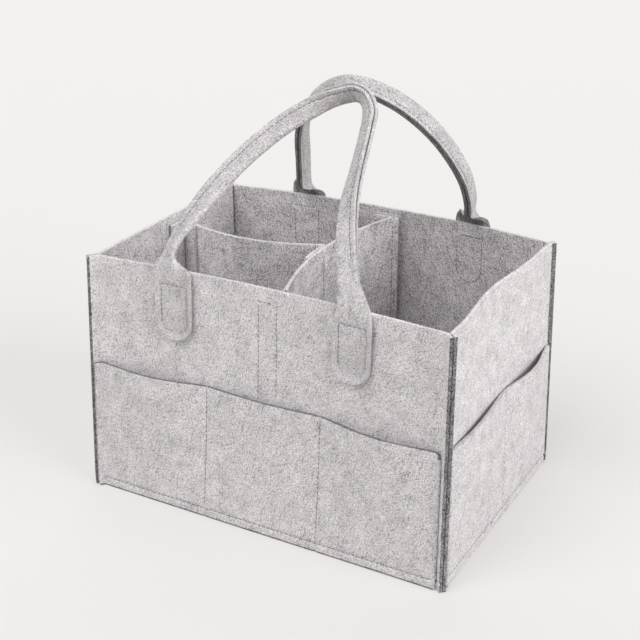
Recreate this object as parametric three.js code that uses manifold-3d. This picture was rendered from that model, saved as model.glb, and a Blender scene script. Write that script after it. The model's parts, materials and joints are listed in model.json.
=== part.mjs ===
// Felt caddy with outside pockets, two folded carrying handles and a removable divider insert.
// Millimetres, +Z up. The front faces -Y and the origin lies on the floor under the middle.

import * as THREE from 'three';
import Module from 'manifold-3d';

// Sheet goods
const FELT = 3;
const TAPE = 1.2;
const GAP = 0.4;

// Box: sizes at the foot, how far the rim leans in, and the corner seams
const LENGTH = 330;
const WIDTH = 228;
const HEIGHT = 216;
const END_LEAN = 3.6;
const SIDE_LEAN = 7.6;
const SEAM_RIDGE = 8.5;
const BASE_DROP = 8;

// How far the middle of each rim stands out of the straight line between its corners
const FRONT_BOW = -7.5;
const BACK_BOW = 12;
const RIGHT_BOW = -9.5;
const LEFT_BOW = 1;

// Pockets
const POCKET_HEIGHT = 120;
const POCKET_BULGE = 8;
const MIDDLE_BULGE = 6;

// Handles: the strip, where it is sewn on, how it is folded, and how far the two loops reach
const STRIP_WIDTH = 33;
const HANDLE_SPACING = 166;
const TONGUE_DROP = 60;
const TONGUE_RISE = 6;
const PLY_GAP = 1;
const FLAT_ROOT = 3;
const FOLD_LENGTH = 24;
const FRONT_ROLL = 78;
const FRONT_APEX = 174;
const BACK_APEX = 152;
const BACK_LEAN = 31.5;
const HANDLE_CONTACT = 11;

// Insert: dividers, their flaps and the hook-and-loop tapes
const CROSS_X = 16;
const CROSS_BOW = 19.4;
const LONG_Y_AT_WALL = 20;
const LONG_Y_AT_CROSS = 9;
const LONG_BOW = 18;
const LONG_DROP_AT_WALL = 8;
const LONG_DROP_AT_CROSS = 1;
const TAB_LENGTH = 34;
const FLAP_WIDTH = 20;
const FLAP_HEIGHT = 110;
const FLAP_DROP = 6;
const TAPE_WIDTH = 20;
const TAPE_HEIGHT = 111;
const TAPE_DROP = 5;
const HOOK_WIDTH = 15;
const HOOK_HEIGHT = 104;
const HOOK_DROP = 2;

const SEAM_HEIGHT = BASE_DROP + FELT;
const SEAM_INSET = Math.SQRT2 * (FELT + GAP / 2);
const TONGUE_TOP = HEIGHT + TONGUE_RISE;
const FLAP_TOP = HEIGHT - FLAP_DROP;
const TAPE_TOP = HEIGHT - TAPE_DROP;
const FOLD_RADIUS = (FELT + PLY_GAP) / 2;
const FOLD_BEND = Math.PI * FOLD_RADIUS / 2;
const FOLD_DEPTH = STRIP_WIDTH / 2 - FOLD_BEND + FOLD_RADIUS;
const DIAGONAL = Math.SQRT1_2;

const felt = (shade) => new THREE.MeshStandardMaterial({ color: shade, roughness: 0.95, metalness: 0 });
const WALL_FELT = 0xc8c6c6;
const POCKET_FELT = 0xcfcdcd;
const HANDLE_FELT = 0xc4c2c2;
const INSERT_FELT = 0xb9b7b7;
const HOOK_TAPE = 0xe4e4e2;
const LOOP_TAPE = 0xe9e9e7;

const wasm = await Module();
wasm.setup();

// A closed sheet: columns by rows of cells, one cell thick, each corner put where place says.
// place(column, outside, row) gets whole numbers, with outside 0 on the inner face and 1 on the outer one.
function sheet(name, shade, columns, rows, place) {
  const geometry = new THREE.BoxGeometry(columns, 1, rows, columns, 1, rows);
  const corners = geometry.attributes.position;
  for (let k = 0; k < corners.count; k += 1) {
    const column = Math.round(corners.getX(k) + columns / 2);
    const outside = Math.round(0.5 - corners.getY(k));
    const row = Math.round(corners.getZ(k) + rows / 2);
    corners.setXYZ(k, ...place(column, outside, row));
  }
  geometry.computeVertexNormals();
  return named(name, shade, geometry);
}

function named(name, shade, geometry) {
  const mesh = new THREE.Mesh(geometry, felt(shade));
  mesh.name = name;
  return mesh;
}

function mix(from, to, share) {
  return from + (to - from) * share;
}

// Each wall is drawn as if it were the front: x runs along it, outwards is -Y. turn puts it in its place.
const side = { span: LENGTH, reach: WIDTH / 2, endLean: END_LEAN, lean: SIDE_LEAN };
const end = { span: WIDTH, reach: LENGTH / 2, endLean: SIDE_LEAN, lean: END_LEAN };
const front = { ...side, turn: 0, bow: FRONT_BOW };
const back = { ...side, turn: Math.PI, bow: BACK_BOW };
const right = { ...end, turn: Math.PI / 2, bow: RIGHT_BOW };
const left = { ...end, turn: -Math.PI / 2, bow: LEFT_BOW };

// Share of the way from the base seam up to the rim
function rise(z) {
  return Math.max(0, (z - SEAM_HEIGHT) / (HEIGHT - SEAM_HEIGHT));
}

function halfSpan(wall, z) {
  return wall.span / 2 - wall.endLean * rise(z);
}

// Distance of the wall's outer face from the middle plane of the box
function outerFace(wall, x, z) {
  const across = Math.max(0, 1 - (x / (halfSpan(wall, z) - SEAM_INSET)) ** 2);
  const upwards = 1 - (1 - Math.min(1, rise(z))) ** 3;
  return wall.reach - wall.lean * rise(z) + wall.bow * across * upwards;
}

// Height of a row, with one row on the base seam where the wall starts to lean
function level(row, rows, top) {
  return row === 0 ? 0 : mix(SEAM_HEIGHT, top, (row - 1) / (rows - 1));
}

// A wall panel. Its first and last cells are the seam allowances, turned out along the corner's diagonal.
function panel(name, wall) {
  const cells = 12;
  const rows = 9;
  return sheet(name, WALL_FELT, cells + 2, rows, (column, outside, row) => {
    const z = level(row, rows, HEIGHT);
    const inner = halfSpan(wall, z) - FELT - DIAGONAL * GAP;
    if (column === 0 || column === cells + 2) {
      const ply = outside * FELT * DIAGONAL;
      const out = SEAM_RIDGE * DIAGONAL;
      const face = wall.reach - wall.lean * rise(z) - FELT;
      return [Math.sign(column - 1) * (inner + out - ply), -(face + out + ply), z];
    }
    const bend = outside ? halfSpan(wall, z) - SEAM_INSET : inner;
    const x = mix(-bend, bend, (column - 1) / cells);
    return [x, -(outerFace(wall, x, z) - FELT * (1 - outside)), z];
  });
}

// A pocket ply over the lower wall, sewn down between its cells so that each one stands open at the top
function pocket(name, wall, bulges) {
  const cellColumns = 6;
  const columns = cellColumns * bulges.length;
  const rows = 6;
  const inset = SEAM_INSET + GAP;
  return sheet(name, POCKET_FELT, columns, rows, (column, outside, row) => {
    const z = level(row, rows, POCKET_HEIGHT);
    const x = mix(-1, 1, column / columns) * (halfSpan(wall, z) - inset);
    const cell = Math.min(bulges.length - 1, Math.floor(column / cellColumns));
    const across = 2 * (column / cellColumns - cell) - 1;
    const upwards = Math.sin(Math.PI / 2 * z / POCKET_HEIGHT) ** 2;
    const bulge = bulges[cell] * (1 - across ** 4) * upwards;
    return [x, -(outerFace(wall, x, z) + GAP + outside * FELT + bulge), z];
  });
}

// The sewn-on end of a handle strip: a tongue with a round lower end, standing a little above the rim
function tongue(name, wall, centre) {
  const columns = 8;
  const rows = 4;
  const radius = STRIP_WIDTH / 2;
  return sheet(name, HANDLE_FELT, columns, rows, (column, outside, row) => {
    const offset = mix(-radius, radius, column / columns);
    const bottom = HEIGHT - TONGUE_DROP + radius - Math.sqrt(radius ** 2 - offset ** 2);
    const z = mix(bottom, TONGUE_TOP, row / rows);
    const x = centre + offset;
    return [x, -(outerFace(wall, x, z) + GAP + outside * FELT), z];
  });
}

// Loop tape on the inside of a wall
function loopTape(name, wall, centre) {
  const columns = 2;
  const rows = 4;
  return sheet(name, LOOP_TAPE, columns, rows, (column, outside, row) => {
    const x = centre + (column / columns - 0.5) * TAPE_WIDTH;
    const z = TAPE_TOP - TAPE_HEIGHT * (1 - row / rows);
    return [x, -(outerFace(wall, x, z) - FELT - GAP - (1 - outside) * TAPE), z];
  });
}

// The base: a flat sheet whose edges turn down inside the walls, so that the box stands on its seams
function basePanel() {
  const size = [LENGTH - 2 * (FELT + GAP), WIDTH - 2 * (FELT + GAP), SEAM_HEIGHT];
  const hollow = [size[0] - 2 * FELT, size[1] - 2 * FELT, BASE_DROP];
  const block = solid(new THREE.BoxGeometry(...size).translate(0, 0, size[2] / 2));
  const underside = solid(new THREE.BoxGeometry(...hollow).translate(0, 0, hollow[2] / 2));
  return named('base_panel', WALL_FELT, geometryOf(block.subtract(underside)));
}

// A box geometry as a solid: its eight corners, shared by its faces
function solid(box) {
  const index = new Map();
  const vertProperties = [];
  const place = box.attributes.position;
  const corner = (k) => {
    const key = [place.getX(k), place.getY(k), place.getZ(k)];
    const name = key.join();
    if (!index.has(name)) {
      index.set(name, index.size);
      vertProperties.push(...key);
    }
    return index.get(name);
  };
  const triVerts = Array.from(box.index.array, corner);
  return new wasm.Manifold(new wasm.Mesh({
    numProp: 3,
    vertProperties: new Float32Array(vertProperties),
    triVerts: new Uint32Array(triVerts),
  }));
}

function geometryOf(manifold) {
  const { vertProperties, triVerts } = manifold.getMesh();
  const geometry = new THREE.BufferGeometry();
  geometry.setAttribute('position', new THREE.BufferAttribute(vertProperties, 3));
  geometry.setIndex(new THREE.BufferAttribute(triVerts, 1));
  geometry.computeVertexNormals();
  return geometry;
}

// Distance of a handle's hinge line from the middle plane: just outside both tongues' outer faces
function hingeReach(wall) {
  const edges = [HANDLE_SPACING / 2 - STRIP_WIDTH / 2, HANDLE_SPACING / 2 + STRIP_WIDTH / 2];
  const faces = edges.map((x) => outerFace(wall, x, TONGUE_TOP));
  return Math.max(...faces) + GAP + FELT + GAP;
}

// A place across the strip, with close steps round the fold and wide ones on the two plies
const ACROSS = 8;
function acrossStrip(column) {
  const steps = column - ACROSS / 2;
  const onPly = Math.max(0, Math.abs(steps) - 2) / 2;
  return Math.sign(steps) * mix(FOLD_BEND * Math.min(1, Math.abs(steps) / 2), STRIP_WIDTH / 2, onPly);
}

// Section of the strip, folded by a share of a half turn: [along the flat strip, towards the raw edges]
function foldedSection(u, thickness, share) {
  const nearlyFlat = 1e-4;
  const turn = Math.max(nearlyFlat, share * Math.PI / 2);
  const angle = turn * THREE.MathUtils.clamp(u / FOLD_BEND, -1, 1);
  const radius = FOLD_BEND / turn;
  const ply = Math.sign(u) * Math.max(0, Math.abs(u) - FOLD_BEND);
  const p = radius * Math.sin(angle) + ply * Math.cos(angle) - thickness * Math.sin(angle);
  const q = radius * (1 - Math.cos(angle)) + ply * Math.sin(angle) + thickness * Math.cos(angle);
  return [p, q];
}

// The free loop of a handle, leaning inwards (+Y) from its hinge line. route holds the middle of the
// folded strip in the loop's plane, as [x, distance from the hinge line], between its two roots.
// Both plies fold inwards evenly. With edgesOut only the inner one does, behind the outer one, and past
// the apex the raw edges roll over towards the outside by the angle roll.
function handleLoop(name, lean, route, edgesOut, roll) {
  const stations = 48;
  const rootCrowding = 0.09;
  const rollStarts = [0.53, 0.62];
  const rollEnds = [0.7, 0.93];
  const up = new THREE.Vector3(0, Math.sin(lean), Math.cos(lean));
  const inward = new THREE.Vector3(0, Math.cos(lean), -Math.sin(lean));
  const rootLift = (FELT * Math.sin(lean) + GAP) / Math.cos(lean);
  const root = (x) => [[x, rootLift], [x, rootLift + FLAT_ROOT + FELT]];
  const places = [...root(-HANDLE_SPACING / 2), ...route, ...root(HANDLE_SPACING / 2).reverse()];
  const curve = new THREE.CatmullRomCurve3(places.map(([x, s]) => up.clone().multiplyScalar(s).setX(x)));
  const length = curve.getLength();
  const foldedStandOff = FELT / 2 + (edgesOut ? FOLD_RADIUS : FOLD_DEPTH / 2);
  return sheet(name, HANDLE_FELT, ACROSS, stations, (column, outside, row) => {
    const share = row / stations;
    const along = share - rootCrowding * Math.sin(2 * Math.PI * share);
    const fromRoot = length * Math.min(along, 1 - along);
    const fold = THREE.MathUtils.smoothstep(fromRoot, FLAT_ROOT, FLAT_ROOT + FOLD_LENGTH);
    const started = THREE.MathUtils.smoothstep(along, ...rollStarts);
    const ended = THREE.MathUtils.smoothstep(along, ...rollEnds);
    const twist = edgesOut * fold * (Math.PI / 2 + roll * (started - ended));
    const tangent = curve.getTangentAt(along);
    const outer = tangent.clone().cross(inward);
    const edges = inward.clone().multiplyScalar(Math.cos(twist)).addScaledVector(outer, Math.sin(twist));
    const flat = edges.clone().cross(tangent);
    const [p, q] = foldedSection(acrossStrip(column), (0.5 - outside) * FELT, fold);
    const point = curve.getPointAt(along);
    point.addScaledVector(inward, mix(FELT / 2, foldedStandOff, fold));
    point.addScaledVector(flat, p);
    point.addScaledVector(edges, q - FOLD_DEPTH / 2 * fold);
    return point.toArray();
  });
}

// Plan of the two dividers. Their square ends meet the walls at a slant, so they stop half a ply short.
const endStandOff = FELT + GAP + FELT / 2;
const crossFrontEnd = -(outerFace(front, CROSS_X, HEIGHT) - endStandOff);
const crossBackEnd = back.reach - endStandOff;
const longLeftEnd = -(outerFace(left, -LONG_Y_AT_WALL, HEIGHT) - endStandOff);

function crossX(y) {
  const share = 2 * (y - crossFrontEnd) / (crossBackEnd - crossFrontEnd) - 1;
  return CROSS_X - CROSS_BOW * (1 - share ** 2);
}

const longRightEnd = crossX(LONG_Y_AT_CROSS) - FELT - GAP;

function longY(x) {
  const share = (x - longLeftEnd) / (longRightEnd - longLeftEnd);
  return mix(LONG_Y_AT_WALL, LONG_Y_AT_CROSS, share) - LONG_BOW * 4 * share * (1 - share);
}

const DIVIDER_CELLS = 12;
const TAB_CELLS = 3;

// An upright sheet whose mid-line in plan is a list of Vector2, with its bends mitred
function uprightSheet(name, plan, rows, bottom, topAt) {
  const normals = plan.map((point, k) => {
    const before = plan[Math.max(0, k - 1)];
    const after = plan[Math.min(plan.length - 1, k + 1)];
    const first = point.clone().sub(k > 0 ? before : after).multiplyScalar(k > 0 ? 1 : -1).normalize();
    const second = k < plan.length - 1 ? after.clone().sub(point).normalize() : first;
    const middle = first.clone().add(second).normalize();
    return new THREE.Vector2(middle.y, -middle.x).divideScalar(middle.dot(first));
  });
  return sheet(name, INSERT_FELT, plan.length - 1, rows, (column, outside, row) => {
    const point = plan[column].clone().addScaledVector(normals[column], (outside - 0.5) * FELT);
    return [point.x, point.y, mix(bottom, topAt(plan[column]), row / rows)];
  });
}

function steps(count, from, to) {
  return Array.from({ length: count + 1 }, (_, k) => mix(from, to, k / count));
}

function crossDivider() {
  const plan = steps(DIVIDER_CELLS, crossFrontEnd, crossBackEnd).map((y) => new THREE.Vector2(crossX(y), y));
  return uprightSheet('cross_divider', plan, 1, SEAM_HEIGHT + GAP, () => HEIGHT);
}

// The long divider, with its end turned forwards into a tab that is sewn to the cross divider
function longDivider() {
  const offset = FELT + GAP;
  const corner = LONG_Y_AT_CROSS;
  const plan = steps(DIVIDER_CELLS, longLeftEnd, longRightEnd).map((x) => new THREE.Vector2(x, longY(x)));
  const tab = steps(TAB_CELLS, corner, corner - TAB_LENGTH).slice(1);
  plan.push(...tab.map((y) => new THREE.Vector2(crossX(y) - offset, y)));
  const topAt = (point) => {
    const share = Math.min(1, (point.x - longLeftEnd) / (longRightEnd - longLeftEnd));
    return HEIGHT - mix(LONG_DROP_AT_WALL, LONG_DROP_AT_CROSS, share);
  };
  return uprightSheet('long_divider', plan, 1, SEAM_HEIGHT + GAP, topAt);
}

// Stand-offs of the flap and its hook tape from a wall, measured at the rim where the wall comes in most
const HOOK_OUTER = FELT + GAP + TAPE + GAP;
const FLAP_OUTER = HOOK_OUTER + TAPE + GAP;

// A flap that lies along a wall beside a divider's end, and the hook tape on it. root is where the flap
// starts along the wall, and way is the direction in which it runs from there.
function flapWithTape(prefix, wall, root, way) {
  const middle = root + way * FLAP_WIDTH / 2;
  const rim = Math.min(outerFace(wall, middle, HEIGHT), outerFace(wall, middle, FLAP_TOP - FLAP_HEIGHT));
  const flap = new THREE.BoxGeometry(FLAP_WIDTH, FELT, FLAP_HEIGHT);
  flap.translate(middle, -(rim - FLAP_OUTER - FELT / 2), FLAP_TOP - FLAP_HEIGHT / 2);
  const hook = new THREE.BoxGeometry(HOOK_WIDTH, TAPE, HOOK_HEIGHT);
  hook.translate(middle, -(rim - HOOK_OUTER - TAPE / 2), FLAP_TOP - HOOK_DROP - HOOK_HEIGHT / 2);
  return [named(`${prefix}_flap`, INSERT_FELT, flap), named(`${prefix}_hook_tape`, HOOK_TAPE, hook)];
}

// Where a divider's face, on the side of the flap, stands at the flap's inner face
const flapDepth = FLAP_OUTER + FELT;
const slack = FELT / 2 + 2 * GAP;
const frontFlapRoot = crossX(-(outerFace(front, CROSS_X, HEIGHT) - flapDepth)) - slack;
const backFlapRoot = -(crossX(crossBackEnd - flapDepth) - slack);
const leftFlapRoot = -(longY(-(outerFace(left, 0, HEIGHT) - flapDepth)) - slack);

// Each wall is a group that holds what is sewn to it
function wallGroup(wall, ...pieces) {
  const group = new THREE.Group();
  group.rotation.z = wall.turn;
  group.add(...pieces);
  return group;
}

function hung(wall, loop) {
  loop.position.set(0, -hingeReach(wall), TONGUE_TOP);
  return loop;
}

// Routes of the two handles between their roots. The front one leans back until it rests on the other.
const frontRoute = [
  [-87, 34], [-79, 62], [-62, 98], [-36, 136], [-8, 163],
  [16, FRONT_APEX], [33, 163], [39, 138], [43, 106], [48, 75], [58, 46], [70, 25],
];
const backRoute = [
  [-91, 32], [-90, 68], [-71, 114], [-40, 143], [-2, BACK_APEX], [35, 130], [58, 91], [70, 51],
];
const backLean = THREE.MathUtils.degToRad(BACK_LEAN);
const frontRoll = THREE.MathUtils.degToRad(FRONT_ROLL);
const backReach = BACK_APEX * Math.sin(backLean) + (FOLD_DEPTH + FELT) * Math.cos(backLean);
const frontReach = hingeReach(front) + hingeReach(back) - backReach - HANDLE_CONTACT;
const frontLean = Math.asin(frontReach / FRONT_APEX);

const caddy = new THREE.Group();
caddy.add(
  basePanel(),
  wallGroup(
    front,
    panel('front_panel', front),
    pocket('front_pocket', front, [POCKET_BULGE, MIDDLE_BULGE, POCKET_BULGE]),
    tongue('front_left_tongue', front, -HANDLE_SPACING / 2),
    tongue('front_right_tongue', front, HANDLE_SPACING / 2),
    hung(front, handleLoop('front_handle', frontLean, frontRoute, true, frontRoll)),
    loopTape('front_loop_tape', front, frontFlapRoot - FLAP_WIDTH / 2),
    ...flapWithTape('front', front, frontFlapRoot, -1),
  ),
  wallGroup(
    back,
    panel('back_panel', back),
    pocket('back_pocket', back, [POCKET_BULGE, MIDDLE_BULGE, POCKET_BULGE]),
    tongue('back_right_tongue', back, -HANDLE_SPACING / 2),
    tongue('back_left_tongue', back, HANDLE_SPACING / 2),
    hung(back, handleLoop('back_handle', backLean, backRoute, false, 0)),
    loopTape('back_loop_tape', back, backFlapRoot + FLAP_WIDTH / 2),
    ...flapWithTape('back', back, backFlapRoot, 1),
  ),
  wallGroup(
    right,
    panel('right_panel', right),
    pocket('right_pocket', right, [POCKET_BULGE, POCKET_BULGE]),
  ),
  wallGroup(
    left,
    panel('left_panel', left),
    pocket('left_pocket', left, [POCKET_BULGE, POCKET_BULGE]),
    loopTape('left_loop_tape', left, leftFlapRoot + FLAP_WIDTH / 2),
    ...flapWithTape('left', left, leftFlapRoot, 1),
  ),
  crossDivider(),
  longDivider(),
);

// The middle of the whole outline stands over the origin
const middle = new THREE.Box3().setFromObject(caddy).getCenter(new THREE.Vector3());
caddy.position.set(-middle.x, -middle.y, 0);

export default caddy;
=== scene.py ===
# %% [markdown]
# # A felt caddy, dressed for its photograph
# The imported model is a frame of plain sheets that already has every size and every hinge. This lesson puts
# soft, sewn felt around it: each wall, pocket and handle becomes one closed sheet with a cut edge, held by
# real thread. Everything is in metres, in the frame's own axes: +Z is up and the front faces -Y.

# %% Load the frame
import json
import math

import bmesh
import bpy
import numpy as np
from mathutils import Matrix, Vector, noise


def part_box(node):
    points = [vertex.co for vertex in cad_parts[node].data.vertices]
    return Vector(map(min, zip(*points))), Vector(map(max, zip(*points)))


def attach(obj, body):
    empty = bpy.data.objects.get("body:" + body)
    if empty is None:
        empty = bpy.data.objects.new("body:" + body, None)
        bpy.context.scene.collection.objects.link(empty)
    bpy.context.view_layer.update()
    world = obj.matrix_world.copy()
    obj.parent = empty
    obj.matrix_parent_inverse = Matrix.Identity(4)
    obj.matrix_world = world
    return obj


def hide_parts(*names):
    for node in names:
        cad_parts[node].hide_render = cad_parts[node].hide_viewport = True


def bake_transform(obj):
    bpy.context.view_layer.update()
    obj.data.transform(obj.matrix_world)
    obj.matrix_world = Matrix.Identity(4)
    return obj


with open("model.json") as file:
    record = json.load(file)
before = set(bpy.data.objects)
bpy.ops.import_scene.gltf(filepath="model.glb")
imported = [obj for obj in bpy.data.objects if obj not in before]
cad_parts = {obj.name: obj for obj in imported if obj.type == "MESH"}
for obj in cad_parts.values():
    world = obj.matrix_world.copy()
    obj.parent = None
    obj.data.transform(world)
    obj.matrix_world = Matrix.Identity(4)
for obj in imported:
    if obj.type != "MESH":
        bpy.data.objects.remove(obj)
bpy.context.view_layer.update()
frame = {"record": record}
hinges = {joint["name"]: joint for joint in frame["record"]["behaviour"]["joints"]}

# %% [markdown]
# ## Sizes
# The frame gives the outside sizes, so they are read from its boxes and not typed again. What the boxes
# can't tell, such as how far a rim bows, is written here once as a real size.

# %% Sizes of the felt and of the box
MM = 0.001
FELT = 3 * MM
TAPE = 1.2 * MM
GAP = 0.4 * MM
CUT_ROUND = 0.6 * MM

base_low, base_high = (Vector(corner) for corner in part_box("base_panel"))
MIDDLE = (base_low + base_high) / 2
HALF_LENGTH = (base_high.x - base_low.x) / 2 + FELT + GAP
HALF_WIDTH = (base_high.y - base_low.y) / 2 + FELT + GAP
SEAM_TOP = base_high.z
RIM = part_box("front_panel")[1][2]
POCKET_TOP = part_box("front_pocket")[1][2]
END_LEAN = 3.6 * MM
SIDE_LEAN = 7.6 * MM
BOTTOM_STITCH = 8 * MM
print(f"box {2000 * HALF_LENGTH:.0f} x {2000 * HALF_WIDTH:.0f} x {1000 * RIM:.0f} mm")

# %% [markdown]
# ## Shader sums
# A finish is a sum of small patterns. Blender writes a sum as a chain of Math nodes, which is hard to read,
# so one small class wraps a socket and lets Python's own signs add those nodes. Any other node comes from
# its one method.


# %% A socket that can be used in sums
class Wire:
    """A shader socket. Signs between wires and numbers add Math nodes, and node() adds any other node."""

    def __init__(self, tree, socket=None):
        self.tree = tree
        self.socket = socket

    def node(self, kind, settings=None, sockets=None, output=0):
        made = self.tree.nodes.new(kind)
        for name, value in (settings or {}).items():
            setattr(made, name, value)
        for name, value in (sockets or {}).items():
            if isinstance(value, Wire):
                self.tree.links.new(value.socket, made.inputs[name])
            else:
                made.inputs[name].default_value = value
        return Wire(self.tree, made.outputs[output])

    def math(self, operation, first, second):
        return self.node("ShaderNodeMath", {"operation": operation}, {0: first, 1: second})

    def __add__(self, other):
        return self.math("ADD", self, other)

    def __radd__(self, other):
        return self.math("ADD", other, self)

    def __sub__(self, other):
        return self.math("SUBTRACT", self, other)

    def __rsub__(self, other):
        return self.math("SUBTRACT", other, self)

    def __mul__(self, other):
        return self.math("MULTIPLY", self, other)

    def __rmul__(self, other):
        return self.math("MULTIPLY", other, self)


def new_finish(name, roughness, sheen=0.0):
    """A material with one Principled shader, and a wire to start its patterns from."""
    finish = bpy.data.materials.new(name)
    finish.use_nodes = True
    shader = finish.node_tree.nodes["Principled BSDF"]
    shader.inputs["Roughness"].default_value = roughness
    shader.inputs["Specular IOR Level"].default_value = 0.25
    shader.inputs["Sheen Weight"].default_value = sheen
    shader.inputs["Sheen Roughness"].default_value = 0.6
    return finish, shader, Wire(finish.node_tree)


def colour_between(wire, first, last, share):
    """A colour that passes from first to last as share goes from 0 to 1."""
    sockets = {0: share, 6: (*first, 1), 7: (*last, 1)}
    return wire.node("ShaderNodeMix", {"data_type": "RGBA"}, sockets, output=2)


def soft_step(wire, value, low, high):
    """0 where value is at low, 1 where it is at high, and smooth between."""
    return wire.node(
        "ShaderNodeMapRange",
        {"interpolation_type": "SMOOTHSTEP"},
        {"Value": value, "From Min": low, "From Max": high},
    )


def cut_map(wire):
    return wire.node("ShaderNodeUVMap", {"uv_map": "cut"})


def paint(shader, wire, dark, light, tone, height, depth):
    """Colours the surface from dark to light by tone, and raises it by height times depth."""
    colour = colour_between(wire, dark, light, tone)
    wire.tree.links.new(colour.socket, shader.inputs["Base Color"])
    bump = wire.node("ShaderNodeBump", None, {"Strength": 0.6, "Distance": depth, "Height": height})
    wire.tree.links.new(bump.socket, shader.inputs["Normal"])


print("shader sums ready")

# %% [markdown]
# ## Felt
# Pressed felt is a mat of short fibres, some dark and most of them light, lying every way in the sheet.
# Each sheet carries a map named `cut` that holds its flat pattern in metres. Stretched noise on that map
# makes fibres of a real length and width, whichever way the sheet is bent. Wider noise makes the cloudy
# places in the mat.


# %% Felt finishes
LIGHT_FIBRE = (0.98, 0.932, 0.945)
DARK_FIBRE = (0.20, 0.190, 0.193)
FUZZ = 0.6 * MM


def fibres(wire, cut, degrees, length, width, low, high):
    """A mask of fibres that lie at an angle on the cut: 1 on a fibre and 0 beside it."""
    turned = wire.node(
        "ShaderNodeMapping",
        {"vector_type": "TEXTURE"},
        {"Vector": cut, "Rotation": (0, 0, math.radians(degrees)), "Scale": (length, width, 1)},
    )
    mat = wire.node(
        "ShaderNodeTexNoise",
        {"noise_dimensions": "2D"},
        {"Vector": turned, "Scale": 1.0, "Detail": 1.0, "Distortion": 0.7},
    )
    return soft_step(wire, mat, low, high)


def mottle(wire, cut, size, detail):
    """Noise about the middle value 0 with clouds of one size."""
    cloud = wire.node(
        "ShaderNodeTexNoise",
        {"noise_dimensions": "2D"},
        {"Vector": cut, "Scale": 1 / size, "Detail": detail},
    )
    return cloud - 0.5


def felt_finish(name, tone, contrast=1.0, depth=0.3 * MM, light=LIGHT_FIBRE, dark=DARK_FIBRE):
    """Heather felt: dark and light fibres over a pale mat."""
    finish, shader, wire = new_finish(name, 0.96, sheen=0.15)
    cut = cut_map(wire)
    grey = fibres(wire, cut, 22, 6 * MM, 1.0 * MM, 0.56, 0.70)
    grey = grey + 0.8 * fibres(wire, cut, 97, 5 * MM, 0.9 * MM, 0.57, 0.70)
    pale = fibres(wire, cut, 58, 7 * MM, 0.9 * MM, 0.55, 0.70)
    pale = pale + fibres(wire, cut, 147, 6 * MM, 1.0 * MM, 0.56, 0.70)
    hairs = fibres(wire, cut, 74, 18 * MM, 1.1 * MM, 0.64, 0.72)
    grain = mottle(wire, cut, 1.2 * MM, 3.0)
    cloud = mottle(wire, cut, 16 * MM, 3.0)
    shade = contrast * (0.20 * pale - 0.24 * grey - 0.22 * hairs + 1.35 * grain + 0.4 * cloud)
    paint(shader, wire, dark, light, shade + tone, pale - grey + grain, depth)
    return finish


wall_felt = felt_finish("wall_felt", 0.64)
inner_felt = felt_finish("inner_felt", 0.64, contrast=1.6)
pocket_felt = felt_finish("pocket_felt", 0.61)
# Painted shade: the handle felt is a darker copy of the wall felt, as the handles face up into more light.
handle_felt = felt_finish("handle_felt", 0.52, contrast=0.85)
# Painted shade: the back handle is darker still, as its loop faces more of the light.
shaded_back_handle_felt = felt_finish("shaded_back_handle_felt", 0.46, contrast=0.85)
# Painted light: the long divider and the flaps are a lighter copy of the same felt, standing in for the light
# they catch inside the box.
lit_long_felt = felt_finish("lit_long_felt", 0.70, contrast=1.8)
# Painted shade: the cross divider is a darker copy of the same felt, standing in for the shade on it inside
# the box.
shaded_cross_felt = felt_finish("shaded_cross_felt", 0.55, contrast=1.7)
rim_felt = felt_finish("rim_felt", 0.8, depth=FUZZ)
# Painted shade: a dark felt for the pockets' lips and feet on the long sides and for the cross divider's cut
# ends, standing in for the shade in the gaps beside them.
shaded_edge_felt = felt_finish(
    "shaded_edge_felt", 0.45, contrast=1.5, depth=FUZZ, light=(0.42, 0.405, 0.409), dark=(0.05, 0.048, 0.049)
)
# Painted shade: a dark felt for the back handle's cut edges and inner side, which turn down into shade.
shaded_fold_felt = felt_finish(
    "shaded_fold_felt", 0.5, contrast=1.5, depth=FUZZ, light=(0.52, 0.50, 0.506), dark=(0.07, 0.067, 0.068)
)
# Dark felt for the corner ridges' cut edges, which are dark themselves; on the walls it also paints shade on
# the ridge flanks beside them and along the foot.
seam_and_shade_felt = felt_finish(
    "seam_and_shade_felt", 0.36, contrast=1.8, depth=0.8 * MM, light=(0.48, 0.463, 0.467), dark=(0.03, 0.029, 0.029)
)
print("felt finishes ready")

# %% [markdown]
# ## Tape and thread
# The insert is held by white touch tape. The hook side is a woven band set with rows of stiff hooks, and
# the loop side is a brushed pile. Both are seen best when a flap is peeled, and up close the rows tell them
# apart, so the hooks are a regular grid of dots and the pile is tangled noise. Thread is a twist: painted
# dark grey on top, as painted shade for the dents its stitches press into the felt, and pale below.


# %% Tape and thread finishes
def hook_finish():
    finish, shader, wire = new_finish("hook_tape", 0.55)
    cut = cut_map(wire)
    dots = wire.node(
        "ShaderNodeTexVoronoi",
        {"voronoi_dimensions": "2D", "feature": "F1"},
        {"Vector": cut, "Scale": 1 / (1.1 * MM), "Randomness": 0.15},
    )
    hooks = soft_step(wire, dots, 0.42, 0.18)
    weave = mottle(wire, cut, 0.8 * MM, 1.0)
    tone = 0.3 + 0.6 * hooks + 0.3 * weave
    paint(shader, wire, (0.55, 0.55, 0.54), (0.92, 0.92, 0.91), tone, hooks, 0.5 * MM)
    return finish


def loop_finish():
    finish, shader, wire = new_finish("loop_tape", 0.9, sheen=0.3)
    cut = cut_map(wire)
    pile = fibres(wire, cut, 35, 2.4 * MM, 0.6 * MM, 0.45, 0.65)
    pile = pile + fibres(wire, cut, 120, 2.0 * MM, 0.6 * MM, 0.45, 0.65)
    nap = mottle(wire, cut, 5 * MM, 2.0)
    tone = 0.35 + 0.35 * pile + 0.4 * nap
    paint(shader, wire, (0.62, 0.62, 0.61), (0.94, 0.94, 0.93), tone, pile, 0.4 * MM)
    return finish


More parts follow.
